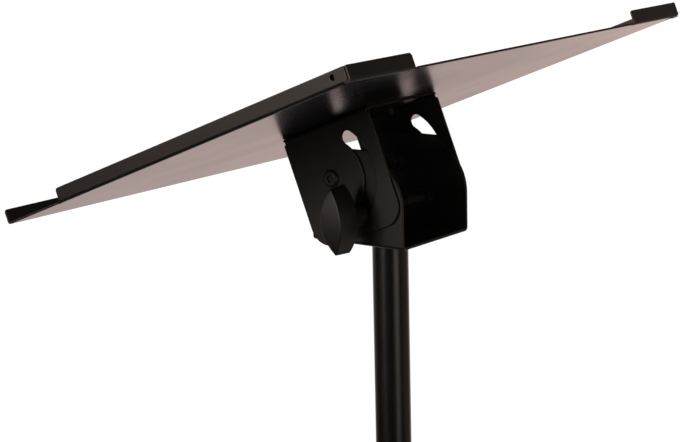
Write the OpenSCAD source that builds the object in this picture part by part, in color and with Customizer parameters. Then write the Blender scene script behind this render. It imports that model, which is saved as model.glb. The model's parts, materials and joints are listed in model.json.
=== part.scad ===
// Projector stand: a tilting tray on a telescopic pole with a folding tripod.
// The origin is on the floor, on the axis of the pole. +Z is up. +X is the side to
// which the raised edge of the tray looks. All sizes are in millimetres.

/* [Tray] */
// Depth of the tray, from the stop lip to the raised edge
tray_depth = 426.4; // [400:0.2:440]
// Width of the tray over its side lips
tray_width = 551.2; // [500:0.2:560]
// Thickness of the tray's sheet
tray_t = 2; // [1.5:0.1:2.5]
// Height of the lips above the tray's underside
lip_h = 14.3; // [12:0.1:20]
// Length of each of the two tabs on the raised edge
tab_len = 90.4; // [60:0.2:110]
// Length of side edge without a lip, next to the stop lip
lip_gap = 71; // [20:1:100]
// Diameter of the hole in each side lip
lip_hole_d = 5; // [4:0.5:6]

/* [Tilting head] */
// Tilt of the tray at rest, in degrees
tilt = 21.67; // [15:0.01:25]
// Height of the tilt axis above the floor at rest
axis_h = 1180; // [1100:5:1240]
// Distance from the tilt axis to the tray's underside
tray_rise = 51.1; // [51:0.1:54]
// Thickness of the outer bracket's sheet
outer_t = 2.5; // [2:0.1:2.6]
// Thickness of the inner bracket's sheet
inner_t = 3; // [2.5:0.1:3.5]
// Diameter of the clamp bolt
bolt_d = 10; // [8:1:10]
// Width of the curved slot
slot_w = 13.4; // [12:0.1:13.6]
// Radius of the curved slot's centre line
slot_r = 44.6; // [44.4:0.1:44.8]

/* [Pole] */
// Outer diameter of the upper tube
upper_d = 35; // [35:1:35]
// Outer diameter of the lower tube
lower_d = 40; // [40:1:40]
// Wall of both tubes
tube_wall = 2; // [2:0.5:2]
// Height of the lower tube's top end
lower_top = 720; // [700:5:760]
// Height of the upper tube's lower end at rest
upper_foot = 430; // [380:5:480]

/* [Tripod] */
// Length of each leg from its pivot to its end
leg_len = 590; // [580:5:620]
// Distance between the two pivots of a brace
brace_len = 270; // [260:1:272]
// Angle of each leg from the vertical when the stand is open
leg_angle = 52; // [50:0.5:54]
// Distance from the pole's axis to the pivots of the legs and braces
pivot_r = 46; // [45:0.5:50]

/* [Hidden] */
$fn = 64;

// the pole's axis is this far from the tilt axis, towards +X
axis_off = 25;
// tray: the stop lip's face, the raised edge's face, half width
tu0 = -203.4;
tu1 = tu0 + tray_depth;
ty = tray_width / 2;
bend_r = 3;
// outer bracket: its two ends along the tray and the outer faces of its ears
ou0 = -43.1;
ou1 = 64.8;
oy = 57.4;
o_low = -60.3;
o_round = 21;
// inner bracket: its two ends along X, the outer faces of its ears, its underside
ix0 = -26.5;
ix1 = 78.6;
iy = oy - outer_t - 0.3;
i_low = -61.9;
i_top = 29.3;
// start of the round that leads into the slanted edge, which lies where x + z = i_slant
i_turn = 42.7;
i_slant = i_turn + i_top - 8 + 8 * sqrt(2);
// clamp bolt in the pole's frame, seen from the tilt axis
cbx = 31.5;
cbz = -31.6;
head_z = axis_h + i_low;
// telescope
ur = upper_d / 2;
lr = lower_d / 2;
lri = lr - tube_wall;
height_z = 700;
height_az = -90;
// tripod
leg_w = 25;
leg_t = 15;
sole = 20;
leg_z = leg_len * cos(leg_angle) + sole;
hub_z = leg_z - 2 * brace_len * cos(leg_angle);
leg_az = [180, 300, 60];
knob_az = 0;

steel_black = [0.07, 0.065, 0.06];
plastic_black = [0.05, 0.05, 0.05];
zinc = [0.62, 0.62, 0.6];
fastener = [0.09, 0.09, 0.09];
rubber = [0.04, 0.04, 0.04];

// ---------------------------------------------------------------- frames
module at_axis() translate([-axis_off, 0, axis_h]) children();
module at_tray() at_axis() rotate([0, -tilt, 0]) children();
module leg_side(i) rotate([0, 0, leg_az[i]]) children();
module at_leg(i) leg_side(i) translate([pivot_r, 0, leg_z]) rotate([0, -leg_angle, 0]) children();
module at_brace(i) leg_side(i) translate([pivot_r, 0, hub_z]) rotate([0, leg_angle, 0]) children();

// ---------------------------------------------------------------- shared shapes
// rectangle about the origin with true round corners
module rrect(w, h, r) {
    square([w - 2 * r, h], center = true);
    square([w, h - 2 * r], center = true);
    for (x = [-1, 1], y = [-1, 1]) translate([x * (w / 2 - r), y * (h / 2 - r)]) circle(r);
}
// the corner that a round of radius r removes: quarter towards +x +y
module round_off(r) difference() { square(r + 1); circle(r); }
// cylinder along Y from y0 to y1
module ycyl(x, z, r, y0, y1) translate([x, y0, z]) rotate([-90, 0, 0]) cylinder(r = r, h = y1 - y0);
module yhex(x, z, af, y0, y1, turn = 0)
    translate([x, y0, z]) rotate([-90, 0, 0]) rotate([0, 0, turn]) cylinder(r = af / sqrt(3), h = y1 - y0, $fn = 6);
module ring(ro, ri, h) difference() { cylinder(r = ro, h = h); translate([0, 0, -1]) cylinder(r = ri, h = h + 2); }
// flat shape in the X-Z plane made solid from y0 to y1
module xz(y0, y1) translate([0, y1, 0]) rotate([90, 0, 0]) linear_extrude(y1 - y0) children();

// ---------------------------------------------------------------- tray
// folded edge seen along its length: o is outwards, w is up; the outer face is at o = 0
module lip_section() {
    translate([-tray_t, bend_r]) square([tray_t, lip_h - bend_r]);
    translate([-bend_r - 4, 0]) square([4.001, tray_t]);
    intersection() {
        translate([-bend_r, bend_r]) difference() { circle(bend_r); circle(bend_r - tray_t); }
        translate([-bend_r, 0]) square(bend_r);
    }
}
// lip along X from u0 to u1 on the -y side, with rounded upper corners
module side_lip(u0, u1, r0, r1) {
    difference() {
        translate([u0, -ty, tray_rise]) rotate([90, 0, 90]) mirror([1, 0, 0]) linear_extrude(u1 - u0) lip_section();
        xz(-ty - 1, -ty + 5) translate([u0 + r0, tray_rise + lip_h - r0]) mirror([1, 0]) round_off(r0);
        xz(-ty - 1, -ty + 5) translate([u1 - r1, tray_rise + lip_h - r1]) round_off(r1);
    }
}
module end_lip_raw(y0, y1) translate([0, y1, tray_rise]) rotate([90, 0, 0]) linear_extrude(y1 - y0) lip_section();
module yz_cut(y, w, sgn, r) translate([-6, y, w]) rotate([90, 0, 90]) linear_extrude(12) mirror([sgn < 0 ? 1 : 0, 0]) round_off(r);

module tray() color(steel_black) at_tray() difference() {
    union() {
        // the flat sheet: its middle, the two open side gaps and the open middle of the raised edge
        translate([tu0 + bend_r, -ty + bend_r, tray_rise]) cube([tray_depth - 2 * bend_r, 2 * ty - 2 * bend_r, tray_t]);
        translate([tu0 + bend_r, -ty, tray_rise]) cube([lip_gap - bend_r, 2 * ty, tray_t]);
        translate([tu1 - 10, -ty + tab_len + 3.5, tray_rise]) cube([10, 2 * ty - 2 * tab_len - 7, tray_t]);
        // side lips
        for (m = [0, 1]) mirror([0, m, 0]) side_lip(tu0 + lip_gap + 1.5, tu1 - tray_t - 0.8, 3, 0.8);
        // stop lip along the whole lower edge
        difference() {
            translate([tu0, 0, 0]) mirror([1, 0, 0]) end_lip_raw(-ty, ty);
            translate([tu0, 0, 0]) {
                yz_cut(ty - 3, tray_rise + lip_h - 3, 1, 3);
                yz_cut(-ty + 3, tray_rise + lip_h - 3, -1, 3);
            }
        }
        // tabs at the two corners of the raised edge
        for (m = [0, 1]) mirror([0, m, 0]) difference() {
            translate([tu1, 0, 0]) end_lip_raw(-ty, -ty + tab_len);
            translate([tu1, 0, 0]) yz_cut(-ty + tab_len - 3.5, tray_rise + lip_h - 3.5, 1, 3.5);
            translate([tu1, 0, 0]) yz_cut(-ty + 1, tray_rise + lip_h - 1, -1, 1);
        }
    }
    // holes near the ends of the side lips
    for (s = [-1, 1]) ycyl(206.3, tray_rise + 8.7, lip_hole_d / 2, s * ty - 4, s * ty + 4);
    // bend relief beside the tabs and at the end of each side lip
    for (s = [-1, 1]) translate([tu1 - bend_r, s * (ty - tab_len - 1.75) - 1.75, tray_rise - 1]) cube([bend_r + 1, 3.5, tray_t + 2]);
    for (s = [-1, 1]) translate([tu0 + lip_gap, s * (ty - bend_r / 2) - bend_r / 2 - 0.001, tray_rise - 1]) cube([1.5, bend_r + 0.002, tray_t + 2]);
    // countersunk holes for the bracket's screws
    for (p = screw_at) translate([p[0], p[1], tray_rise]) {
        translate([0, 0, -1]) cylinder(r = 2.6, h = tray_t + 2);
        translate([0, 0, 0.1]) cylinder(r1 = 2.9, r2 = 4.8, h = tray_t - 0.1);
    }
}
screw_at = [for (u = [-28, 22], y = [-34, 34]) [u, y]];

module tray_screws() color(fastener) at_tray() for (p = screw_at) translate([p[0], p[1], tray_rise]) difference() {
    union() {
        translate([0, 0, 0.15]) cylinder(r1 = 2.8, r2 = 4.7, h = tray_t - 0.15);
        translate([0, 0, -outer_t - 6]) cylinder(r = 2.5, h = outer_t + 8);
    }
    translate([0, 0, 0.6]) cylinder(r = 1.75, h = 5, $fn = 6);
}
module tray_nuts() color(fastener) at_tray() for (p = screw_at) translate([p[0], p[1], tray_rise - outer_t]) mirror([0, 0, 1]) difference() {
    union() {
        cylinder(r = 5.2, h = 0.8);
        translate([0, 0, 0.8]) cylinder(r = 8 / sqrt(3), h = 3.4, $fn = 6);
    }
    translate([0, 0, -1]) cylinder(r = 2.52, h = 8);
}

// ---------------------------------------------------------------- outer bracket
// U seen along the tray's depth, open downwards: y across, w up
module outer_u() difference() {
    translate([0, tray_rise - 80]) rrect(2 * oy, 160, 4);
    translate([0, tray_rise - outer_t - 80]) rrect(2 * (oy - outer_t), 160, 1.5);
    translate([-100, -300]) square([200, 300 + o_low]);
}
module outer_ear() {
    translate([ou0, o_low + o_round]) square([ou1 - ou0, tray_rise - o_low - o_round]);
    translate([ou0 + o_round, o_low]) square([ou1 - ou0 - 2 * o_round, o_round + 1]);
    for (u = [ou0 + o_round, ou1 - o_round]) translate([u, o_low + o_round]) circle(o_round);
}
slot_a0 = -93;
slot_a1 = 43;
module slot_shape() {
    intersection() {
        difference() { circle(slot_r + slot_w / 2, $fn = 128); circle(slot_r - slot_w / 2, $fn = 128); }
        polygon([[0, 0], for (a = [slot_a0, -45, 0, slot_a1]) 90 * [cos(a), sin(a)]]);
    }
    for (a = [slot_a0, slot_a1]) translate(slot_r * [cos(a), sin(a)]) circle(slot_w / 2);
}
module tray_bracket() color(steel_black) at_tray() difference() {
    intersection() {
        translate([ou0, 0, 0]) rotate([90, 0, 90]) linear_extrude(ou1 - ou0) outer_u();
        xz(-80, 80) outer_ear();
    }
    xz(-80, 80) slot_shape();
    ycyl(0, 0, bolt_d / 2 + 0.08, -80, 80);
    // bend relief at the ends of both folds
    for (u = [ou0 - 1, ou1 - 2], s = [-1, 1]) translate([u, s * (oy - 2) - 2.5, tray_rise - 6]) cube([3, 5, 3.2]);
    for (p = screw_at) translate([p[0], p[1], 0]) cylinder(r = 2.6, h = 80);
}

// ---------------------------------------------------------------- inner bracket
module inner_u() difference() {
    translate([0, i_low + 80]) rrect(2 * iy, 160, 4);
    translate([0, i_low + inner_t + 80]) rrect(2 * (iy - inner_t), 160, 1.5);
}
// the corner that a round of radius r removes where an edge along X turns into the slanted edge
module slant_off(r) difference() {
    polygon([[0, 0], [0, r + 1], [r * 0.6, r + 1], [(r + 1) * cos(45), (r + 1) * sin(45)]]);
    circle(r, $fn = 96);
}
module inner_ear() difference() {
    polygon([[ix0, i_low], [ix1, i_low], [ix1, i_slant - ix1], [i_slant - i_top, i_top], [ix0, i_top]]);
    translate([ix0 + 8, i_top - 8]) mirror([1, 0]) round_off(8);
    translate([i_turn, i_top - 8]) slant_off(8);
    translate([ix1 - 49.5, i_slant - ix1 + 49.5 - 49.5 * sqrt(2)]) mirror([1, -1]) slant_off(49.5);
}
module head_bracket() color(steel_black) at_axis() difference() {
    intersection() {
        translate([ix0, 0, 0]) rotate([90, 0, 90]) linear_extrude(ix1 - ix0) inner_u();
        xz(-80, 80) inner_ear();
    }
    ycyl(0, 0, bolt_d / 2 + 0.05, -80, 80);
    ycyl(cbx, cbz, bolt_d / 2 + 0.05, -80, 80);
    translate([axis_off, 0, i_low - 5]) cylinder(r = 6.1, h = 20);
}

// ---------------------------------------------------------------- pivots and clamp
// low head with a slanted rim and a hexagon socket, against the outer bracket on each side
module pivot_screws() color(steel_black) at_axis() for (m = [0, 1]) mirror([0, m, 0]) difference() {
    union() {
        ycyl(0, 0, bolt_d / 2, -oy - 0.2, -iy + inner_t + 10.5);
        translate([0, -oy - 0.15, 0]) rotate([90, 0, 0]) {
            cylinder(r = 8.5, h = 1.8);
            translate([0, 0, 1.8]) cylinder(r1 = 8.5, r2 = 6.6, h = 2);
        }
    }
    yhex(0, 0, 6, -oy - 8, -oy - 0.9);
}
module pivot_nuts() color(fastener) at_axis() for (m = [0, 1]) mirror([0, m, 0]) difference() {
    union() {
        ycyl(0, 0, 10, -iy + inner_t, -iy + inner_t + 1.6);
        yhex(0, 0, 16, -iy + inner_t + 1.6, -iy + inner_t + 9, 12);
    }
    ycyl(0, 0, bolt_d / 2 + 0.03, -80, 0);
}
knob_back = -oy - 2.4;
module clamp_bolt() color(fastener) at_axis() union() {
    ycyl(cbx, cbz, bolt_d / 2, knob_back - 26, oy + 2.3);
    difference() {
        intersection() {
            yhex(cbx, cbz, 16, oy + 2.3, oy + 8.7);
            ycyl(cbx, cbz, 8.9, oy + 2.3, oy + 8.7);
        }
        ycyl(cbx, cbz, 5.5, oy + 8.3, oy + 9);
    }
}
module clamp_lock_nut() color(fastener) at_axis() difference() {
    union() {
        ycyl(cbx, cbz, 10, iy - inner_t - 1.6, iy - inner_t);
        yhex(cbx, cbz, 16, iy - inner_t - 7.6, iy - inner_t - 1.6, 20);
    }
    ycyl(cbx, cbz, bolt_d / 2 + 0.03, 0, 80);
}
module clamp_washers() color(fastener) at_axis() difference() {
    union() {
        ycyl(cbx, cbz, 10.5, oy + 0.2, oy + 2.3);
        ycyl(cbx, cbz, 10.5, -oy - 2.2, -oy - 0.2);
    }
    ycyl(cbx, cbz, bolt_d / 2 + 0.03, -80, 80);
}

// ---------------------------------------------------------------- wing knob
// Pointed oval grip on a round hub. The seat is at z = 0, the grip's long axis is Y.
// The grip narrows a little towards its front, which is crowned along its length.
knob_len = 65.4;
knob_w = 25.5;
hub_h = 16.7;
grip_h = 26;
grip_draft = 1.1;
grip_crown = 132;
grip_r = (knob_len * knob_len / 4 + knob_w * knob_w / 4) / knob_w;
module wing_knob(bore_r, bore_h) difference() {
    union() {
        cylinder(r = 11.5, h = 3);
        translate([0, 0, 3]) cylinder(r1 = 11.5, r2 = 10, h = hub_h - 2);
        intersection() {
            translate([grip_r - knob_w / 2, 0, hub_h]) cylinder(r1 = grip_r, r2 = grip_r - grip_draft, h = grip_h, $fn = 180);
            translate([knob_w / 2 - grip_r, 0, hub_h]) cylinder(r1 = grip_r, r2 = grip_r - grip_draft, h = grip_h, $fn = 180);
            translate([0, 0, hub_h]) cylinder(r1 = knob_len / 2 - 0.5, r2 = knob_len / 2 - 2, h = grip_h, $fn = 96);
            translate([-30, 0, hub_h + grip_h - grip_crown]) rotate([0, 90, 0]) cylinder(r = grip_crown, h = 60, $fn = 360);
        }
    }
    translate([0, 0, -1]) cylinder(r = bore_r, h = bore_h + 1);
}
module at_tilt_knob() at_axis() translate([cbx, knob_back, cbz]) rotate([90, 0, 0]) rotate([0, 0, 4]) children();
module tilt_knob_grip() color(plastic_black) at_tilt_knob() difference() {
    wing_knob(bolt_d / 2 + 0.3, 30);
    translate([0, 0, 2]) cylinder(r = 8, h = 14);
}
module tilt_knob_insert() color(zinc) at_tilt_knob() translate([0, 0, 2]) ring(8, bolt_d / 2 + 0.06, 14);

// ---------------------------------------------------------------- pole
module upper_tube() color(steel_black) translate([0, 0, upper_foot]) ring(ur, ur - tube_wall, head_z - upper_foot);
module tube_plug() color(zinc) translate([0, 0, head_z - 42]) ring(ur - tube_wall, 6.02, 42);
module head_bolt() color(fastener) translate([0, 0, head_z]) union() {
    translate([0, 0, -36]) cylinder(r = 6, h = 36 + inner_t + 2.5);
    translate([0, 0, inner_t + 2.5]) intersection() {
        cylinder(r = 18 / sqrt(3), h = 7.5, $fn = 6);
        cylinder(r1 = 12.4, r2 = 9.6, h = 7.5);
    }
}
module head_bolt_washer() color(fastener) translate([0, 0, head_z + inner_t]) ring(12, 6.1, 2.5);
module mast_foot_bush() color(plastic_black) translate([0, 0, upper_foot]) {
    translate([0, 0, -10]) ring(lri - 0.06, 12, 10);
    ring(ur - tube_wall, 12, 22);
}
tube_low = 30;
module lower_tube() color(steel_black) difference() {
    translate([0, 0, tube_low]) ring(lr, lri, lower_top - tube_low);
    rotate([0, 0, height_az]) translate([0, 0, height_z]) rotate([0, 90, 0]) cylinder(r = 6.2, h = 30);
    for (a = [0, 120, 240]) rotate([0, 0, a]) translate([0, 0, hub_z + 14]) rotate([0, 90, 0]) cylinder(r = 2.6, h = 30);
    for (a = [30, 150]) rotate([0, 0, a]) translate([0, 0, height_z - 28]) rotate([0, 90, 0]) cylinder(r = 2.6, h = 30);
}
module tube_end_cap() color(plastic_black) difference() {
    union() {
        translate([0, 0, tube_low - 4]) cylinder(r = lr, h = 4);
        translate([0, 0, tube_low]) cylinder(r = lri, h = 14);
    }
    translate([0, 0, tube_low + 1]) cylinder(r = lri - 3, h = 20);
}
module guide_bush() color(plastic_black) difference() {
    union() {
        translate([0, 0, lower_top - 60]) cylinder(r = lri, h = 60);
        translate([0, 0, lower_top]) cylinder(r = lr, h = 3);
    }
    translate([0, 0, lower_top - 61]) cylinder(r = ur + 0.06, h = 70);
    rotate([0, 0, height_az]) translate([0, 0, height_z]) rotate([0, 90, 0]) cylinder(r = 6.2, h = 30);
}
// clamp housing round the top of the lower tube, with a boss for the knob's screw
collar_low = 655;
module height_collar() color(plastic_black) difference() {
    union() {
        translate([0, 0, collar_low]) cylinder(r1 = 24.5, r2 = 27, h = 8);
        translate([0, 0, collar_low + 8]) cylinder(r = 27, h = lower_top + 4 - collar_low - 8);
        translate([0, 0, lower_top + 4]) cylinder(r1 = 27, r2 = 22.5, h = 7);
        rotate([0, 0, height_az]) translate([0, 0, height_z]) rotate([0, 90, 0]) {
            cylinder(r = 14, h = 36);
            translate([0, 0, 36]) cylinder(r1 = 14, r2 = 12.5, h = 2);
        }
        for (a = [-35, 35]) rotate([0, 0, height_az + a]) translate([0, -2.5, height_z - 20]) cube([30, 5, 40]);
        for (a = [30, 150]) rotate([0, 0, a]) translate([0, 0, height_z - 28]) rotate([0, 90, 0]) cylinder(r = 7, h = 29.5);
    }
    translate([0, 0, collar_low - 1]) cylinder(r = lr, h = lower_top + 3 - collar_low + 1);
    translate([0, 0, collar_low]) cylinder(r = ur + 0.8, h = 90);
    rotate([0, 0, height_az]) translate([0, 0, height_z]) rotate([0, 90, 0]) cylinder(r = 4.08, h = 60);
    for (a = [30, 150]) rotate([0, 0, a]) translate([0, 0, height_z - 28]) rotate([0, 90, 0]) cylinder(r = 2.55, h = 60);
}
module collar_screws() color(zinc) for (a = [30, 150]) rotate([0, 0, a]) translate([0, 0, height_z - 28]) rotate([0, 90, 0]) {
    translate([0, 0, 18.4]) cylinder(r = 2.5, h = 11.1);
    difference() {
        translate([0, 0, 29.5]) cylinder(r1 = 5, r2 = 4.2, h = 3);
        translate([0, 0, 31]) cylinder(r = 1.75, h = 5, $fn = 6);
    }
}
module brake_shoe() color(plastic_black) rotate([0, 0, height_az]) translate([0, 0, height_z]) rotate([0, 90, 0])
    translate([0, 0, ur + 0.35]) cylinder(r = 5.6, h = 1.2);
module at_height_knob() rotate([0, 0, height_az]) translate([38.3, 0, height_z]) rotate([0, 90, 0]) rotate([0, 0, 90]) children();
module height_knob_grip() color(plastic_black) at_height_knob() wing_knob(4, 30);
module height_knob_screw() color(zinc) rotate([0, 0, height_az]) translate([0, 0, height_z]) rotate([0, 90, 0])
    translate([0, 0, 19.6]) cylinder(r = 4, h = 38.3 - 19.6 + 28);

// ---------------------------------------------------------------- tripod
// clevis for one leg: two ears, open between them
module leg_ears(i) leg_side(i) difference() {
    union() {
        for (s = [-1, 1]) translate([0, s * 11 - 3, leg_z]) {
            translate([20, 0, -13]) cube([pivot_r - 20, 6, 26]);
            translate([pivot_r, 0, 0]) rotate([-90, 0, 0]) cylinder(r = 13, h = 6);
            // web down from the ear to the foot of the housing
            translate([24, 0, -30]) cube([7, 6, 20]);
        }
        translate([20, -14, leg_z + 15.5]) cube([18, 28, 7]);
    }
    translate([pivot_r, -20, leg_z]) rotate([-90, 0, 0]) cylinder(r = 4.03, h = 40);
}
module leg_collar() color(plastic_black) difference() {
    union() {
        translate([0, 0, leg_z - 34]) cylinder(r1 = 26.5, r2 = 29, h = 5);
        translate([0, 0, leg_z - 29]) cylinder(r = 29, h = 52);
        translate([0, 0, leg_z + 23]) cylinder(r1 = 29, r2 = 25.5, h = 6);
        for (i = [0:2]) leg_ears(i);
        rotate([0, 0, knob_az]) translate([0, 0, leg_z]) rotate([0, 90, 0]) {
            cylinder(r = 13, h = 38);
            translate([0, 0, 38]) cylinder(r1 = 13, r2 = 11.5, h = 2);
        }
    }
    translate([0, 0, leg_z - 50]) cylinder(r = lr + 2, h = 100);
    rotate([0, 0, knob_az]) translate([0, 0, leg_z]) rotate([0, 90, 0]) cylinder(r = 4.08, h = 60);
}
module collar_bush() color(plastic_black) translate([0, 0, leg_z - 34]) difference() {
    ring(lr + 2, lr + 0.06, 63);
    rotate([0, 0, knob_az]) translate([0, 0, 34]) rotate([0, 90, 0]) cylinder(r = 4.6, h = 40);
}
module leg_pins() color(zinc) for (i = [0:2]) leg_side(i) translate([pivot_r, 0, leg_z]) rotate([-90, 0, 0]) {
    translate([0, 0, -14.2]) cylinder(r = 4, h = 28.4);
    for (m = [0, 1]) mirror([0, 0, m]) {
        translate([0, 0, 14.05]) cylinder(r = 6.8, h = 1);
        translate([0, 0, 15.05]) cylinder(r1 = 6.8, r2 = 4.4, h = 1.7);
    }
}
module at_collar_knob() rotate([0, 0, knob_az]) translate([40.3, 0, leg_z]) rotate([0, 90, 0]) rotate([0, 0, 90]) children();
module collar_knob_grip() color(plastic_black) at_collar_knob() wing_knob(4, 30);
module collar_knob_screw() color(zinc) rotate([0, 0, knob_az]) translate([0, 0, leg_z]) rotate([0, 90, 0])
    translate([0, 0, lr + 0.3]) cylinder(r = 4, h = 40.3 - lr - 0.3 + 28);

module bottom_hub() color(plastic_black) difference() {
    union() {
        translate([0, 0, hub_z - 22]) cylinder(r1 = 24.5, r2 = 27, h = 5);
        translate([0, 0, hub_z - 17]) cylinder(r = 27, h = 38);
        translate([0, 0, hub_z + 21]) cylinder(r1 = 27, r2 = 23.5, h = 5);
        for (i = [0:2]) leg_side(i) translate([0, -7.5, hub_z]) {
            translate([20, 0, -9.5]) cube([pivot_r - 20, 15, 19]);
            translate([pivot_r, 0, 0]) rotate([-90, 0, 0]) cylinder(r = 9.5, h = 15);
            translate([20, 5, -16]) cube([12, 5, 32]);
        }
    }
    translate([0, 0, tube_low]) cylinder(r = lr, h = 100);
    translate([0, 0, tube_low - 10]) cylinder(r = lr + 0.3, h = 20);
    for (i = [0:2]) leg_side(i) translate([pivot_r, -20, hub_z]) rotate([-90, 0, 0]) cylinder(r = 4.03, h = 40);
    for (a = [0, 120, 240]) rotate([0, 0, a]) translate([0, 0, hub_z + 14]) rotate([0, 90, 0]) cylinder(r = 2.55, h = 60);
}
module hub_screws() color(zinc) for (a = [0, 120, 240]) rotate([0, 0, a]) translate([0, 0, hub_z + 14]) rotate([0, 90, 0]) {
    translate([0, 0, 18.4]) cylinder(r = 2.5, h = 8.8);
    difference() {
        translate([0, 0, 27.2]) cylinder(r1 = 5, r2 = 4.2, h = 3);
        translate([0, 0, 28.7]) cylinder(r = 1.75, h = 5, $fn = 6);
    }
}
module brace_pins() color(zinc) for (i = [0:2]) leg_side(i) translate([pivot_r, 0, hub_z]) rotate([-90, 0, 0]) {
    translate([0, 0, -11.6]) cylinder(r = 4, h = 23.2);
    for (m = [0, 1]) mirror([0, 0, m]) {
        translate([0, 0, 11.5]) cylinder(r = 6.8, h = 1);
        translate([0, 0, 12.5]) cylinder(r1 = 6.8, r2 = 4.4, h = 1.7);
    }
}

// leg: flat-sided tube; its top end is rounded and solid round the pivot
module leg(i) color(steel_black) at_leg(i) difference() {
    union() {
        translate([0, 0, -leg_len]) linear_extrude(leg_len) rrect(leg_w, leg_t, 3);
        translate([0, leg_t / 2, 0]) rotate([90, 0, 0]) cylinder(r = leg_w / 2, h = leg_t);
    }
    translate([0, 0, -leg_len - 1]) linear_extrude(leg_len - 19) rrect(leg_w - 3, leg_t - 3, 1.5);
    translate([0, -20, 0]) rotate([-90, 0, 0]) cylinder(r = 4.06, h = 40);
}
// rubber shoe; its sole is level with the floor
function sole_t(x) = (leg_z + x * sin(leg_angle)) / cos(leg_angle);
module foot(i) color(rubber) at_leg(i) difference() {
    translate([0, 11, 0]) rotate([90, 0, 0]) linear_extrude(22) polygon([
        [-14.5, -leg_len + 48], [-16, -leg_len + 44], [-16, -sole_t(-16)], [3, -sole_t(3)], [12, -sole_t(3)],
        [16, -sole_t(3) + 7], [16, -leg_len + 44], [14.5, -leg_len + 48]]);
    translate([0, 0, -leg_len]) linear_extrude(leg_len) rrect(leg_w, leg_t, 3);
}
// brace: two flat bars, one on each side of the hub's lug and of the leg
bar_y = leg_t / 2 + 0.45;
module bar_shape() {
    square([16, brace_len], center = false);
    translate([8, 0]) circle(8);
    translate([8, brace_len]) circle(8);
}
module brace(i) color(steel_black) at_brace(i) difference() {
    for (s = [-1, 1]) translate([-8, s * (bar_y + 1.5) + 1.5, 0]) rotate([90, 0, 0]) linear_extrude(3) bar_shape();
    translate([0, -20, 0]) rotate([-90, 0, 0]) cylinder(r = 4.06, h = 40);
    translate([0, -20, brace_len]) rotate([-90, 0, 0]) cylinder(r = 4.03, h = 40);
}
module brace_rivets(i) color(zinc) at_brace(i) translate([0, 0, brace_len]) rotate([-90, 0, 0]) for (m = [0, 1]) mirror([0, 0, m]) {
    translate([0, 0, bar_y]) cylinder(r = 4, h = 3.2);
    translate([0, 0, bar_y + 3]) cylinder(r = 6.4, h = 1);
    translate([0, 0, bar_y + 4]) cylinder(r1 = 6.4, r2 = 4.2, h = 1.5);
}
module leg_1() leg(0);
module leg_2() leg(1);
module leg_3() leg(2);
module foot_1() foot(0);
module foot_2() foot(1);
module foot_3() foot(2);
module brace_1() brace(0);
module brace_2() brace(1);
module brace_3() brace(2);
module brace_rivets_1() brace_rivets(0);
module brace_rivets_2() brace_rivets(1);
module brace_rivets_3() brace_rivets(2);

tray();
tray_bracket();
tray_screws();
tray_nuts();
head_bracket();
pivot_screws();
pivot_nuts();
clamp_bolt();
clamp_lock_nut();
clamp_washers();
tilt_knob_grip();
tilt_knob_insert();
upper_tube();
tube_plug();
head_bolt();
head_bolt_washer();
mast_foot_bush();
lower_tube();
tube_end_cap();
guide_bush();
height_collar();
collar_screws();
brake_shoe();
height_knob_grip();
height_knob_screw();
leg_collar();
collar_bush();
leg_pins();
collar_knob_grip();
collar_knob_screw();
bottom_hub();
hub_screws();
brace_pins();
leg_1();
leg_2();
leg_3();
foot_1();
foot_2();
foot_3();
brace_1();
brace_2();
brace_3();
brace_rivets_1();
brace_rivets_2();
brace_rivets_3();
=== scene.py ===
import json
import math

import bmesh
import bpy
from mathutils import Matrix, Vector


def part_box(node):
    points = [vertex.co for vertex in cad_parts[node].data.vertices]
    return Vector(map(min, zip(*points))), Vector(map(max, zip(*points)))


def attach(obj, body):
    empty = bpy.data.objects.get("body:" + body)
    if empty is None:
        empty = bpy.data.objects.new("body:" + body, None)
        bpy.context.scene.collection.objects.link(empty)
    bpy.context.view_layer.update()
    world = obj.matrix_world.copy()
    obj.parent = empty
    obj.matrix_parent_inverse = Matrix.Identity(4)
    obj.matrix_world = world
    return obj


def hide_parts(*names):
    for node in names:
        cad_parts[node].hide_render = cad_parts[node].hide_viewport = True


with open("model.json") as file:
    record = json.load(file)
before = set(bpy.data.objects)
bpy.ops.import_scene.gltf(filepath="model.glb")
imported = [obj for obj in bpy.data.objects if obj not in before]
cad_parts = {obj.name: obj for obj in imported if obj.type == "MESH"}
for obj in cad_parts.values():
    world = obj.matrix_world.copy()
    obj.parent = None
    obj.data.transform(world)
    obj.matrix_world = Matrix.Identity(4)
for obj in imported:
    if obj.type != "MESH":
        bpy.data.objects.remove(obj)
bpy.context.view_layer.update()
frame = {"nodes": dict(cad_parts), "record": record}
N = frame["nodes"]
SLOT = {s["node"]: s["material_slot"] for s in frame["record"]["subparts"]}
BODY = {n: b for b, ns in frame["record"]["behaviour"]["bodies"].items() for n in ns}


# ------------------------------------------------------------------ camera
def make_camera():
    data = bpy.data.cameras.new("camera")
    data.sensor_fit = "HORIZONTAL"
    data.sensor_width = 36.0
    data.lens = 105.10
    data.shift_x = -0.01205
    data.shift_y = -0.00554
    data.clip_start, data.clip_end = 0.05, 80.0
    cam = bpy.data.objects.new("camera", data)
    bpy.context.scene.collection.objects.link(cam)
    cam.matrix_world = Matrix((
        (0.801571, -0.103017, 0.588959, 1.08961),
        (0.597504, 0.173881, -0.782787, -1.51447),
        (-0.021768, 0.979364, 0.200930, 1.51874),
        (0.0, 0.0, 0.0, 1.0)))
    bpy.context.scene.camera = cam
    return cam


make_camera()


# ------------------------------------------------------------------ materials
def new_material(name):
    mat = bpy.data.materials.new(name)
    mat.use_nodes = True
    nt = mat.node_tree
    nt.nodes.clear()
    out = nt.nodes.new("ShaderNodeOutputMaterial")
    bsdf = nt.nodes.new("ShaderNodeBsdfPrincipled")
    nt.links.new(bsdf.outputs["BSDF"], out.inputs["Surface"])
    return mat, nt, bsdf


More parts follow.
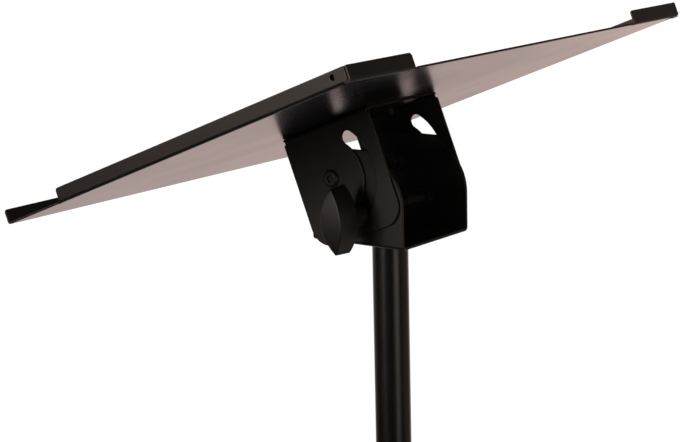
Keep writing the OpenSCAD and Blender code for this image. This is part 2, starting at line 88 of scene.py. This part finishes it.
def coords(nt, scale=(1, 1, 1), turn=(0, 0, 0)):
    tc = nt.nodes.new("ShaderNodeTexCoord")
    mp = nt.nodes.new("ShaderNodeMapping")
    mp.inputs["Scale"].default_value = scale
    mp.inputs["Rotation"].default_value = turn
    nt.links.new(tc.outputs["Object"], mp.inputs["Vector"])
    return mp.outputs["Vector"]


def noise(nt, vec, scale, detail=3.0, rough=0.55):
    n = nt.nodes.new("ShaderNodeTexNoise")
    n.inputs["Scale"].default_value = scale
    n.inputs["Detail"].default_value = detail
    n.inputs["Roughness"].default_value = rough
    nt.links.new(vec, n.inputs["Vector"])
    return n.outputs["Fac"]


def ramp(nt, fac, stops):
    r = nt.nodes.new("ShaderNodeValToRGB")
    el = r.color_ramp.elements
    while len(el) > 1:
        el.remove(el[-1])
    el[0].position, el[0].color = stops[0][0], (*stops[0][1], 1)
    for p, c in stops[1:]:
        e = el.new(p)
        e.color = (*c, 1)
    nt.links.new(fac, r.inputs["Fac"])
    return r.outputs["Color"]


def span(nt, fac, lo, hi, f0=0.0, f1=1.0):
    m = nt.nodes.new("ShaderNodeMapRange")
    m.inputs["From Min"].default_value = f0
    m.inputs["From Max"].default_value = f1
    m.inputs["To Min"].default_value = lo
    m.inputs["To Max"].default_value = hi
    nt.links.new(fac, m.inputs["Value"])
    return m.outputs["Result"]


def math_node(nt, op, a, b):
    m = nt.nodes.new("ShaderNodeMath")
    m.operation = op
    for i, v in enumerate((a, b)):
        if isinstance(v, (int, float)):
            m.inputs[i].default_value = v
        else:
            nt.links.new(v, m.inputs[i])
    return m.outputs[0]


def bump(nt, height, strength, distance, normal=None):
    b = nt.nodes.new("ShaderNodeBump")
    b.inputs["Strength"].default_value = strength
    b.inputs["Distance"].default_value = distance
    nt.links.new(height, b.inputs["Height"])
    if normal is not None:
        nt.links.new(normal, b.inputs["Normal"])
    return b.outputs["Normal"]


def upward(nt, lo, hi):
    """A value that goes from lo to hi where the piece's own surface faces up."""
    tc = nt.nodes.new("ShaderNodeTexCoord")
    xyz = nt.nodes.new("ShaderNodeSeparateXYZ")
    nt.links.new(tc.outputs["Normal"], xyz.inputs["Vector"])
    return span(nt, xyz.outputs["Z"], lo, hi, 0.3, 0.6)


def grazing(nt, near, far, start=0.72):
    """A value that goes from near, seen straight on, to far, seen along the surface."""
    lw = nt.nodes.new("ShaderNodeLayerWeight")
    lw.inputs["Blend"].default_value = 0.5
    return span(nt, lw.outputs["Facing"], near, far, start, 0.97)


def powder_coat(name="black_powder_coat", rough=0.45, edge=0.19, tone=1.0):
    """Semi-matt black powder coat: faint orange peel, slightly uneven gloss, glossier when seen along the surface."""
    mat, nt, b = new_material(name)
    v = coords(nt)
    big = noise(nt, v, 7.0, 4.0)
    peel = noise(nt, v, 420.0, 2.0, 0.5)
    fine = noise(nt, v, 1700.0, 2.0, 0.5)
    dark, light = [tuple(c * tone for c in rgb) for rgb in ((0.0020, 0.0017, 0.0014), (0.0032, 0.0027, 0.0023))]
    nt.links.new(ramp(nt, big, [(0.3, dark), (0.7, light)]), b.inputs["Base Color"])
    patch = span(nt, big, -0.02, 0.02, 0.3, 0.7)
    # the upper side has less gloss than the other faces
    sheen = math_node(nt, "MAXIMUM", grazing(nt, rough, edge), upward(nt, 0.0, 0.56))
    r = math_node(nt, "ADD", patch, sheen)
    nt.links.new(math_node(nt, "ADD", r, span(nt, fine, -0.015, 0.02, 0.3, 0.7)), b.inputs["Roughness"])
    b.inputs["IOR"].default_value = 1.5
    n = bump(nt, peel, 1.0, 0.0000018)
    nt.links.new(bump(nt, fine, 1.0, 0.0000005, n), b.inputs["Normal"])
    return mat


def moulded_plastic():
    """Black moulded nylon with a fine spark-eroded grain."""
    mat, nt, b = new_material("black_moulded_plastic")
    v = coords(nt)
    grain = noise(nt, v, 1400.0, 2.0, 0.6)
    big = noise(nt, v, 30.0, 3.0)
    nt.links.new(ramp(nt, big, [(0.3, (0.0026, 0.0025, 0.0024)), (0.7, (0.0040, 0.0038, 0.0036))]), b.inputs["Base Color"])
    nt.links.new(span(nt, grain, 0.36, 0.46, 0.3, 0.7), b.inputs["Roughness"])
    b.inputs["IOR"].default_value = 1.52
    nt.links.new(bump(nt, grain, 1.0, 0.000008), b.inputs["Normal"])
    return mat


def black_steel(name="black_oxide_steel", rough=(0.36, 0.50), ior=1.45):
    """Blackened steel fasteners, rubbed a little brighter in places."""
    mat, nt, b = new_material(name)
    v = coords(nt)
    big = noise(nt, v, 90.0, 3.0)
    fine = noise(nt, v, 1800.0, 2.0)
    nt.links.new(ramp(nt, big, [(0.3, (0.0028, 0.0027, 0.0026)), (0.62, (0.0045, 0.0043, 0.0042)), (0.75, (0.012, 0.011, 0.010))]), b.inputs["Base Color"])
    nt.links.new(span(nt, fine, rough[0], rough[1], 0.3, 0.7), b.inputs["Roughness"])
    b.inputs["IOR"].default_value = ior
    nt.links.new(bump(nt, fine, 1.0, 0.000004), b.inputs["Normal"])
    return mat


def zinc_plate():
    mat, nt, b = new_material("zinc_plated_steel")
    v = coords(nt)
    big = noise(nt, v, 120.0, 3.0)
    fine = noise(nt, v, 2200.0, 2.0)
    nt.links.new(ramp(nt, big, [(0.3, (0.40, 0.40, 0.385)), (0.7, (0.54, 0.53, 0.50))]), b.inputs["Base Color"])
    nt.links.new(span(nt, fine, 0.26, 0.40, 0.3, 0.7), b.inputs["Roughness"])
    b.inputs["Metallic"].default_value = 1.0
    nt.links.new(bump(nt, fine, 1.0, 0.000004), b.inputs["Normal"])
    return mat


def rubber():
    mat, nt, b = new_material("black_rubber")
    v = coords(nt)
    fine = noise(nt, v, 1200.0, 3.0)
    big = noise(nt, v, 30.0, 4.0)
    nt.links.new(ramp(nt, big, [(0.3, (0.012, 0.012, 0.012)), (0.7, (0.021, 0.020, 0.019))]), b.inputs["Base Color"])
    nt.links.new(span(nt, big, 0.60, 0.78, 0.3, 0.7), b.inputs["Roughness"])
    nt.links.new(bump(nt, fine, 1.0, 0.00002), b.inputs["Normal"])
    return mat


POLE_COAT = powder_coat("black_powder_coat_tube", 0.32, 0.17)
DULL_STEEL = black_steel("black_phosphated_steel", (0.66, 0.80), 1.25)
OWN = {"upper_tube": POLE_COAT, "lower_tube": POLE_COAT, "clamp_bolt": DULL_STEEL, "clamp_lock_nut": DULL_STEEL,
       "pivot_nuts": DULL_STEEL}
MAT = {
    "black_powder_coat": powder_coat(),
    "black_plastic": moulded_plastic(),
    "black_steel": black_steel(),
    "zinc_steel": zinc_plate(),
    "black_rubber": rubber(),
}
for name, o in N.items():
    o.data.materials.clear()
    o.data.materials.append(OWN.get(name, MAT[SLOT[name]]))


# ------------------------------------------------------------------ pieces
def add_piece(name, me, body, slot, nodes=(), smooth_angle=32.0, mat=None):
    me.materials.clear()
    me.materials.append(mat or MAT[slot])
    for p in me.polygons:
        p.use_smooth = True
    me.set_sharp_from_angle(angle=math.radians(smooth_angle))
    o = bpy.data.objects.new(name, me)
    bpy.context.scene.collection.objects.link(o)
    wn = o.modifiers.new("normals", "WEIGHTED_NORMAL")
    wn.mode = "FACE_AREA"
    wn.keep_sharp = True
    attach(o, body)
    if nodes:
        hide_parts(*nodes)
    return o


def node_bmesh(node, flat=0.6):
    bm = bmesh.new()
    bm.from_mesh(N[node].data)
    bmesh.ops.remove_doubles(bm, verts=bm.verts, dist=1.2e-5)
    bmesh.ops.dissolve_limit(bm, angle_limit=math.radians(flat), verts=bm.verts, edges=bm.edges, use_dissolve_boundaries=False)
    bmesh.ops.recalc_face_normals(bm, faces=bm.faces)
    return bm


def soften(bm, width, seg=2, angle=28.0, keep=None):
    edges = [e for e in bm.edges if len(e.link_faces) == 2 and e.calc_face_angle(0.0) > math.radians(angle)
             and (keep is None or keep(e))]
    bmesh.ops.bevel(bm, geom=edges, offset=width, offset_type="OFFSET", segments=seg, profile=0.5,
                    affect="EDGES", clamp_overlap=False, loop_slide=True)


def dress(node, width=0.0004, seg=2, angle=28.0, change=None, after=None):
    """The node's own shape with its sharp edges broken, as deburring, paint or moulding leaves them."""
    bm = node_bmesh(node)
    if change:
        change(bm)
    soften(bm, width, seg, angle)
    if after:
        after(bm)
    me = bpy.data.meshes.new(node + "_skin")
    bm.to_mesh(me)
    bm.free()
    return add_piece(node + "_skin", me, BODY[node], SLOT[node], (node,), mat=OWN.get(node))


def thread(name, body, slot, start, along, length, r_out, depth=0.00055, pitch=0.0015, around=28, per_turn=7):
    """Helical screw thread on the outside of a rod, open at neither end."""
    along = Vector(along).normalized()
    e1 = along.orthogonal().normalized()
    e2 = along.cross(e1)
    rings = int(length / pitch * per_turn)
    bm = bmesh.new()
    grid = []
    for i in range(rings + 1):
        z = length * i / rings
        ease = min(1.0, i / per_turn, (rings - i) / per_turn)
        row = []
        for j in range(around):
            t = 2 * math.pi * j / around
            ph = (z / pitch - j / around) % 1.0
            flank = min(1.0, abs(ph - 0.5) * 2 / 0.82)
            r = r_out - depth * (flank * ease + (1 - ease))
            row.append(bm.verts.new(Vector(start) + along * z + (e1 * math.cos(t) + e2 * math.sin(t)) * r))
        grid.append(row)
    for i in range(rings):
        for j in range(around):
            k = (j + 1) % around
            bm.faces.new((grid[i][j], grid[i][k], grid[i + 1][k], grid[i + 1][j]))
    bm.faces.new(list(reversed(grid[0])))
    bm.faces.new(grid[-1])
    bmesh.ops.recalc_face_normals(bm, faces=bm.faces)
    me = bpy.data.meshes.new(name)
    bm.to_mesh(me)
    bm.free()
    return add_piece(name, me, body, slot, smooth_angle=50.0, mat=DULL_STEEL)


WIDTHS = {"tray": 0.0006, "tray_bracket": 0.0009, "head_bracket": 0.0009, "tilt_knob_grip": 0.0012, "height_knob_grip": 0.0012,
          "collar_knob_grip": 0.0012, "pivot_screws": 0.0006, "pivot_nuts": 0.0003, "clamp_lock_nut": 0.0003,
          "clamp_washers": 0.0002, "tray_screws": 0.0002, "tray_nuts": 0.0003, "head_bolt": 0.0003, "upper_tube": 0.0003,
          "lower_tube": 0.0003, "height_collar": 0.0008, "leg_collar": 0.0009, "bottom_hub": 0.0009, "collar_screws": 0.0002,
          "hub_screws": 0.0002, "leg_pins": 0.0003, "brace_pins": 0.0003, "foot_1": 0.0012, "foot_2": 0.0012, "foot_3": 0.0012,
          "leg_1": 0.0004, "leg_2": 0.0004, "leg_3": 0.0004, "brace_1": 0.0004, "brace_2": 0.0004, "brace_3": 0.0004,
          "brace_rivets_1": 0.0003, "brace_rivets_2": 0.0003, "brace_rivets_3": 0.0003, "tube_end_cap": 0.0004}


def ribs(azimuth):
    """Grip ribs round the ankle of a rubber foot: shallow V grooves across the leg's direction."""
    down = Vector((math.cos(math.radians(azimuth)) * 0.7880, math.sin(math.radians(azimuth)) * 0.7880, -0.6157))
    side = down.cross(Vector((0, 0, 1))).normalized()

    def cut(bm):
        top = max((f for f in bm.faces if f.normal.dot(-down) > 0.999), key=lambda f: f.calc_area())
        start = top.calc_center_bounds()
        for k in range(4):
            for off in (0.008 + 0.0045 * k, 0.009 + 0.0045 * k, 0.010 + 0.0045 * k):
                bmesh.ops.bisect_plane(bm, geom=bm.verts[:] + bm.edges[:] + bm.faces[:], dist=1e-6,
                                       plane_co=start + down * off, plane_no=down)
            mid = 0.009 + 0.0045 * k
            for v in bm.verts:
                s = (v.co - start).dot(down)
                if abs(s - mid) < 2e-6:
                    arm = v.co - start - down * s
                    if max(abs(arm.dot(side)) / 0.011, abs((arm - side * arm.dot(side)).length) / 0.016) > 0.88:
                        v.co -= arm.normalized() * 0.0009
    return cut


FEET = {"foot_1": 180, "foot_2": -60, "foot_3": 60}
for node, width in WIDTHS.items():
    dress(node, width, 3 if width >= 0.0009 else 2, after=ribs(FEET[node]) if node in FEET else None)

# clamp bolt: the shank of the skin is turned down to the core and carries a real thread
BOLT = Vector((0.0065, 0.0, 1.1484))


def core(bm):
    for v in bm.verts:
        r = math.hypot(v.co.x - BOLT.x, v.co.z - BOLT.z)
        if 0.0046 < r < 0.0051:
            k = 0.0043 / r
            v.co.x, v.co.z = BOLT.x + (v.co.x - BOLT.x) * k, BOLT.z + (v.co.z - BOLT.z) * k


dress("clamp_bolt", 0.0003, 2, change=core)
low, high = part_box("clamp_bolt")
thread("clamp_bolt_thread", BODY["clamp_bolt"], SLOT["clamp_bolt"], (BOLT.x, low[1] + 0.0006, BOLT.z), (0, 1, 0),
       high[1] - low[1] - 0.0006 - 0.0064 - 0.004, 0.00498)


def blind_nut(name, centre, inward, around=40):
    """Thin closed nut behind the hole of a side lip: the hole stays open through the sheet and ends blind."""
    profile = ((0.0, 2.90), (0.7, 2.94), (1.4, 3.07), (1.9, 3.22), (2.1, 3.35), (2.3, 3.35), (2.3, 2.02),
               (4.0, 2.02), (4.0, 4.10), (3.6, 4.50), (0.0, 4.50))
    bm = bmesh.new()
    rings = []
    for r, t in profile:
        mid = Vector(centre) + Vector(inward) * t * 0.001
        turns = [0.0] if r == 0 else [2 * math.pi * j / around for j in range(around)]
        rings.append([bm.verts.new(mid + Vector((math.cos(a), 0, math.sin(a))) * r * 0.001) for a in turns])
    for a, b in zip(rings, rings[1:]):
        for j in range(around):
            k = (j + 1) % around
            if len(a) == 1:
                bm.faces.new((a[0], b[j], b[k]))
            elif len(b) == 1:
                bm.faces.new((a[j], a[k], b[0]))
            else:
                bm.faces.new((a[j], a[k], b[k], b[j]))
    bmesh.ops.recalc_face_normals(bm, faces=bm.faces)
    me = bpy.data.meshes.new(name)
    bm.to_mesh(me)
    bm.free()
    return add_piece(name, me, BODY["tray"], "black_steel")


low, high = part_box("tray")
blind_nut("lip_blind_nut_near", (0.144638, low[1], 1.311752), (0, 1, 0))
blind_nut("lip_blind_nut_far", (0.144638, high[1], 1.311752), (0, -1, 0))

# ------------------------------------------------------------------ stage and light
CAM_AZ = -53.1   # direction from the stand towards the camera, degrees from +X
AXIS = Vector((0, 0, 1.15))
# what the glossy surfaces mirror: direction (degrees right of the camera, degrees up), full and
# fading half angles, colour
LOBES = {
    "back_low": (180, -16, 22, 42, (0.89, 0.69, 0.635)),
    "back_right": (142, 0, 16, 36, (0.45, 0.34, 0.29)),
    "left_128": (-128, 0, 10, 26, (0.39, 0.385, 0.32)),
    "left_high": (-74, 16, 4, 13, (7.4, 4.8, 4.3)),
    "left_50": (-50, -3, 4, 12, (2.1, 1.85, 1.75)),
    "right_34": (34, -6, 8, 19, (2.05, 1.75, 1.5)),
    "right_85": (88, -4, 12, 26, (0.25, 0.20, 0.165)),
    "floor_right": (104, -40, 12, 30, (0.2, 0.15, 0.12)),
    "top": (0, 88, 26, 48, (0.5, 0.45, 0.4)),
    "floor_back": (170, -58, 20, 40, (0.18, 0.24, 0.3)),
}
# softboxes: direction, distance, width across (degrees), radiance
LIGHTS = {
    "softbox_front": (-41, 9.0, 2.2, 11, (13.0, 13.2, 11.2)),
    "softbox_left": (-52, 12.0, 2.2, 11, (28.0, 23.8, 21.5)),
}
WORLD_TOP, WORLD_ALL = 0.9, 0.5


def towards(az, el):
    a, e = math.radians(CAM_AZ + az), math.radians(el)
    return Vector((math.cos(a) * math.cos(e), math.sin(a) * math.cos(e), math.sin(e)))


def vmath(nt, op, *args):
    n = nt.nodes.new("ShaderNodeVectorMath")
    n.operation = op
    for k, v in args:
        if hasattr(v, "links"):
            nt.links.new(v, n.inputs[k])
        else:
            n.inputs[k].default_value = v
    return n


def only(o, camera=False, diffuse=False, glossy=False, shadow=False):
    o.visible_camera, o.visible_diffuse, o.visible_glossy, o.visible_shadow = camera, diffuse, glossy, shadow
    o.visible_transmission = o.visible_volume_scatter = False


def dome(name, radius, centre, colour_of):
    bm = bmesh.new()
    bmesh.ops.create_uvsphere(bm, u_segments=64, v_segments=32, radius=radius)
    me = bpy.data.meshes.new(name)
    bm.to_mesh(me)
    bm.free()
    mat = bpy.data.materials.new(name)
    mat.use_nodes = True
    nt = mat.node_tree
    nt.nodes.clear()
    out = nt.nodes.new("ShaderNodeOutputMaterial")
    em = nt.nodes.new("ShaderNodeEmission")
    nt.links.new(em.outputs[0], out.inputs["Surface"])
    colour_of(nt, em)
    mat.cycles.emission_sampling = "NONE"
    me.materials.append(mat)
    o = bpy.data.objects.new(name, me)
    o.location = centre
    bpy.context.scene.collection.objects.link(o)
    return o


def studio_colour(nt, em):
    tc = nt.nodes.new("ShaderNodeTexCoord")
    d = vmath(nt, "NORMALIZE", (0, tc.outputs["Object"])).outputs["Vector"]
    total = None
    for az, el, full, fade, rgb in LOBES.values():
        dot = vmath(nt, "DOT_PRODUCT", (0, d), (1, towards(az, el))).outputs["Value"]
        m = nt.nodes.new("ShaderNodeMapRange")
        m.interpolation_type = "SMOOTHERSTEP"
        m.inputs["From Min"].default_value = math.cos(math.radians(fade))
        m.inputs["From Max"].default_value = math.cos(math.radians(full))
        nt.links.new(dot, m.inputs["Value"])
        part = vmath(nt, "SCALE", (0, rgb), (3, m.outputs["Result"])).outputs["Vector"]
        total = part if total is None else vmath(nt, "ADD", (0, total), (1, part)).outputs["Vector"]
    nt.links.new(total, em.inputs["Color"])


def white(nt, em):
    em.inputs["Color"].default_value = (1, 1, 1, 1)
    em.inputs["Strength"].default_value = 1.05


def stage():
    only(dome("studio_reflections", 5.0, AXIS, studio_colour), glossy=True)
    only(dome("white_surround", 40.0, (0, 0, 0), white), camera=True)
    mat, nt, b = new_material("floor_white")
    b.inputs["Base Color"].default_value = (0.92, 0.92, 0.92, 1)
    b.inputs["Roughness"].default_value = 0.9
    b.inputs["Specular IOR Level"].default_value = 0.0
    me = bpy.data.meshes.new("floor")
    s = 38.0
    ring = [(s * math.cos(math.radians(a)), s * math.sin(math.radians(a)), 0) for a in range(0, 360, 6)]
    me.from_pydata(ring, [], [tuple(range(len(ring)))])
    me.materials.append(mat)
    f = bpy.data.objects.new("floor", me)
    bpy.context.scene.collection.objects.link(f)
    only(f, camera=True, diffuse=True, shadow=True)


def softbox(name, az, el, dist, across, rgb):
    data = bpy.data.lights.new(name, "AREA")
    data.shape = "DISK"
    data.size = 2 * dist * math.tan(math.radians(across / 2))
    top = max(max(rgb), 1e-9)
    data.color = [c / top for c in rgb]
    # power of a disk that shows this radiance
    data.energy = top * math.pi * math.pi * (data.size / 2) ** 2
    o = bpy.data.objects.new(name, data)
    o.location = AXIS + towards(az, el) * dist
    o.rotation_mode = "QUATERNION"
    o.rotation_quaternion = (-towards(az, el)).to_track_quat("-Z", "Y")
    bpy.context.scene.collection.objects.link(o)
    o.visible_camera = False
    return o


stage()
for name, args in LIGHTS.items():
    softbox(name, *args)
w = bpy.data.worlds.new("studio")
bpy.context.scene.world = w
w.use_nodes = True
nt = w.node_tree
bg = nt.nodes["Background"]
tc = nt.nodes.new("ShaderNodeTexCoord")
up = vmath(nt, "DOT_PRODUCT", (0, tc.outputs["Generated"]), (1, (0, 0, 1))).outputs["Value"]
m = nt.nodes.new("ShaderNodeMapRange")
m.interpolation_type = "SMOOTHSTEP"
m.inputs["From Min"].default_value = 0.0
m.inputs["From Max"].default_value = 1.0
m.inputs["To Min"].default_value = WORLD_ALL
m.inputs["To Max"].default_value = WORLD_ALL + WORLD_TOP
nt.links.new(up, m.inputs["Value"])
nt.links.new(m.outputs["Result"], bg.inputs["Strength"])
bg.inputs["Color"].default_value = (1, 1, 1, 1)
w.cycles_visibility.glossy = False
bpy.context.scene.view_settings.view_transform = "Standard"
